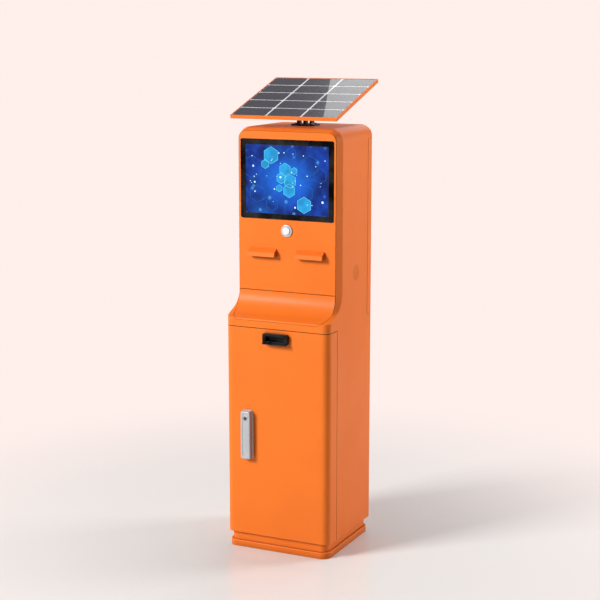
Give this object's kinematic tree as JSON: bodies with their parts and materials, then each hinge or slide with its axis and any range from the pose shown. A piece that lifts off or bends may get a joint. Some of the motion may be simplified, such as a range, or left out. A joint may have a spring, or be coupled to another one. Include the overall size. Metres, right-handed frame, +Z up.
{
  "type": "parking pay station",
  "caption": "Free-standing sheet-steel parking pay station with touch screen, call button, shaded readers, ticket outlet, lockable doors and a tilting solar panel on the roof.",
  "frame": {"origin": "centre of the floor anchor pattern at the underside of the foot plate, midway across and through the body", "axes": "+Z up, -Y out of the front door and the screen, +X to the right of someone facing the screen"},
  "size_m": [0.386, 0.42, 1.589],
  "materials": {
    "orange_paint": "satin powder coat",
    "dark_paint": "satin powder coat",
    "zinc_steel": "zinc plated",
    "bright_zinc": "polished die cast",
    "rubber_black": "matte",
    "black_gloss": "gloss",
    "black_plastic": "matte",
    "screen_glass": "gloss",
    "solar_glass": "gloss",
    "cell_blue": "gloss",
    "white_sheet": "matte",
    "white_plastic": "semi gloss",
    "aluminium": "satin",
    "brass": "satin",
    "paper": "matte",
    "grey_plastic": "matte"
  },
  "bodies": {
    "cabinet": {"base_plate": "orange_paint", "plinth_neck": "orange_paint", "cabinet_floor": "zinc_steel", "body_bolts": "zinc_steel", "door_frames": "zinc_steel", "door_gaskets": "rubber_black", "hinge_pins": "zinc_steel", "cabinet_shell": "orange_paint", "equipment_shelf": "zinc_steel", "front_panel": "orange_paint", "scoop_panel": "orange_paint", "screen_bezel": "black_gloss", "touch_glass": "screen_glass", "display_module": "zinc_steel", "display_brackets": "zinc_steel", "call_button_ring": "bright_zinc", "call_button_body": "black_plastic", "left_visor": "orange_paint", "right_visor": "orange_paint", "ticket_scanner": "black_plastic", "card_reader": "black_plastic", "speaker": "black_plastic", "controller_box": "grey_plastic", "charge_controller": "grey_plastic", "battery_tray": "zinc_steel", "battery": "black_plastic", "tilt_base": "dark_paint", "tilt_bolt": "zinc_steel"},
    "call_button": {"call_button_cap": "white_plastic"},
    "front_door": {"front_door": "orange_paint", "front_hinge_bushes": "brass", "door_stiffener": "zinc_steel", "handle_dish": "bright_zinc", "dispenser_bezel": "black_gloss", "printer_bracket": "zinc_steel", "printer_chassis": "black_plastic", "printer_motor": "zinc_steel", "roll_spindle": "grey_plastic"},
    "lock_spindle": {"lock_spindle": "zinc_steel", "lock_cam": "zinc_steel", "lever_pin": "zinc_steel"},
    "swing_lever": {"swing_lever": "bright_zinc"},
    "lock_cylinder": {"lock_cylinder": "bright_zinc"},
    "upper_lock_rod": {"upper_lock_rod": "zinc_steel"},
    "lower_lock_rod": {"lower_lock_rod": "zinc_steel"},
    "dispenser_flap": {"dispenser_flap": "black_gloss"},
    "platen_roller": {"platen_roller": "rubber_black"},
    "paper_roll": {"paper_roll": "paper"},
    "rear_door": {"rear_door": "orange_paint", "rear_hinge_bushes": "brass", "rear_lock_bodies": "bright_zinc"},
    "lower_rear_cam": {"lower_rear_cam": "zinc_steel"},
    "upper_rear_cam": {"upper_rear_cam": "zinc_steel"},
    "solar_panel": {"solar_frame": "orange_paint", "solar_glass": "solar_glass", "solar_cells": "cell_blue", "solar_backsheet": "white_sheet", "solar_rails": "aluminium", "junction_box": "black_plastic", "tilt_yoke": "dark_paint"}
  },
  "joints": [
    {"name": "front_door_hinge", "type": "hinge", "parent": "cabinet", "child": "front_door", "pos_m": [0.179, -0.129, 0.4], "axis": [0, 0, 1], "range_deg": [0, 110]},
    {"name": "rear_door_hinge", "type": "hinge", "parent": "cabinet", "child": "rear_door", "pos_m": [-0.179, 0.159, 1.09], "axis": [0, 0, 1], "range_deg": [0, 105]},
    {"name": "handle_turn", "type": "hinge", "parent": "front_door", "child": "lock_spindle", "pos_m": [-0.108, -0.179, 0.328], "axis": [0, 1, 0], "range_deg": [0, 90]},
    {"name": "handle_lift", "type": "hinge", "parent": "lock_spindle", "child": "swing_lever", "pos_m": [-0.108, -0.19, 0.328], "axis": [1, 0, 0], "range_deg": [0, 30]},
    {"name": "key_turn", "type": "hinge", "parent": "swing_lever", "child": "lock_cylinder", "pos_m": [-0.108, -0.1845, 0.464], "axis": [0, 1, 0], "range_deg": [0, 90]},
    {"name": "upper_rod_slide", "type": "slide", "parent": "front_door", "child": "upper_lock_rod", "axis": [0, 0, 1], "range_m": [-0.0312, 0]},
    {"name": "lower_rod_slide", "type": "slide", "parent": "front_door", "child": "lower_lock_rod", "axis": [0, 0, 1], "range_m": [0, 0.0312]},
    {"name": "flap_swing", "type": "hinge", "parent": "front_door", "child": "dispenser_flap", "pos_m": [0, -0.175, 0.7514], "axis": [-1, 0, 0], "range_deg": [0, 60]},
    {"name": "paper_roll_spin", "type": "hinge", "parent": "front_door", "child": "paper_roll", "pos_m": [0, -0.125, 0.652], "axis": [1, 0, 0], "continuous": true},
    {"name": "platen_spin", "type": "hinge", "parent": "front_door", "child": "platen_roller", "pos_m": [0, -0.142, 0.738], "axis": [1, 0, 0], "continuous": true},
    {"name": "call_button_press", "type": "slide", "parent": "cabinet", "child": "call_button", "axis": [0, 1, 0], "range_m": [0, 0.003], "stiffness_N_per_m": 600, "springref_m": -0.001},
    {"name": "lower_rear_lock_turn", "type": "hinge", "parent": "rear_door", "child": "lower_rear_cam", "pos_m": [0.132, 0.179, 0.88], "axis": [0, 1, 0], "range_deg": [0, 90]},
    {"name": "upper_rear_lock_turn", "type": "hinge", "parent": "rear_door", "child": "upper_rear_cam", "pos_m": [0.132, 0.179, 1.3], "axis": [0, 1, 0], "range_deg": [0, 90]},
    {"name": "solar_tilt", "type": "hinge", "parent": "cabinet", "child": "solar_panel", "pos_m": [0, 0.048, 1.485], "axis": [1, 0, 0], "range_deg": [-18, 6]}
  ],
  "couplings": [
    {"joint": "upper_rod_slide", "follows": "handle_turn", "m_per_rad": -0.019807},
    {"joint": "lower_rod_slide", "follows": "handle_turn", "m_per_rad": 0.019807}
  ]
}
